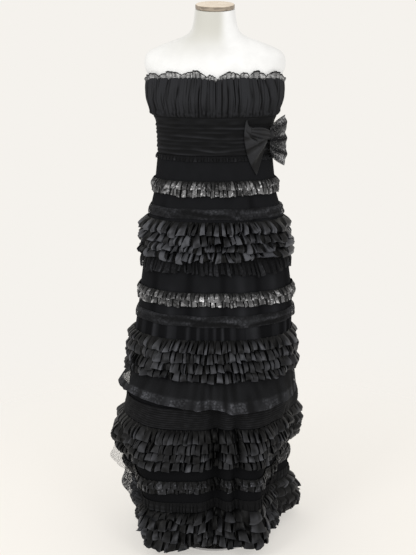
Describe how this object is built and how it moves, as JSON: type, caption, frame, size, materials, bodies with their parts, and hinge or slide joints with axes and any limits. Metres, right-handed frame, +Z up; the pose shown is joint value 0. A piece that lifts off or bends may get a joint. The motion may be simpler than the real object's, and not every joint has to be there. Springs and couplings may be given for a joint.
{
  "type": "strapless gown on a dress form stand",
  "caption": "Strapless evening gown with gathered bust, draped waistband, side bow and tiered ruffled skirt, on a limbless dress form with pole and base.",
  "frame": {"origin": "middle of the round base plate's underside, on the floor", "axes": "+Z up; the gown's front faces -Y; +X is the side with the bow, at the right of someone facing the front"},
  "size_m": [0.557, 0.4399, 1.4941],
  "materials": {
    "chiffon": "matte black chiffon",
    "velvet": "matte black velvet",
    "taffeta": "charcoal taffeta, low sheen",
    "organza": "silver-grey metallic organza",
    "lace": "black floral lace",
    "tulle": "sheer black tulle",
    "satin": "black satin",
    "form_cover": "smooth white jersey cover",
    "wood": "pale varnished wood",
    "steel": "brushed",
    "black_metal": "black lacquered zip metal"
  },
  "bodies": {
    "root": {"bodice_front": "chiffon", "bodice_back": "chiffon", "top_trim": "organza", "waistband_front": "chiffon", "waistband_back": "chiffon", "waist_lace_edging": "lace", "bow_knot": "satin", "bow_satin_loop": "satin", "bow_satin_tail": "satin", "bow_lace_loop": "lace", "skirt_front": "velvet", "skirt_back": "velvet", "shiny_frill_high": "organza", "shiny_frill_middle": "organza", "shiny_frill_low": "organza", "lace_band_high": "lace", "lace_band_middle": "lace", "lace_frill_hip": "lace", "tucked_band": "chiffon", "pleated_band": "chiffon", "tulle_flounce": "tulle", "lace_flap_left": "lace", "ruffle_hip_1": "taffeta", "ruffle_hip_2": "taffeta", "ruffle_hip_3": "taffeta", "ruffle_hip_4": "taffeta", "ruffle_thigh_1": "taffeta", "ruffle_thigh_2": "taffeta", "ruffle_thigh_3": "taffeta", "ruffle_thigh_4": "taffeta", "ruffle_knee_1": "taffeta", "ruffle_knee_2": "taffeta", "ruffle_knee_3": "taffeta", "ruffle_knee_4": "taffeta", "ruffle_hem_1": "taffeta", "ruffle_hem_2": "taffeta", "ruffle_hem_3": "taffeta", "ruffle_hem_4": "taffeta", "zip_tape": "chiffon", "zip_slider": "black_metal", "form_torso": "form_cover", "form_neck_cap": "wood", "form_flange": "steel", "form_pole": "steel", "form_collar": "steel", "form_base": "steel"},
    "zip_pull": {"zip_pull": "black_metal"}
  },
  "joints": [
    {"name": "zip_pull_swing", "type": "hinge", "parent": "root", "child": "zip_pull", "pos_m": [0, 0.10275, 1.262], "axis": [1, 0, 0], "range_deg": [0, 150]}
  ]
}
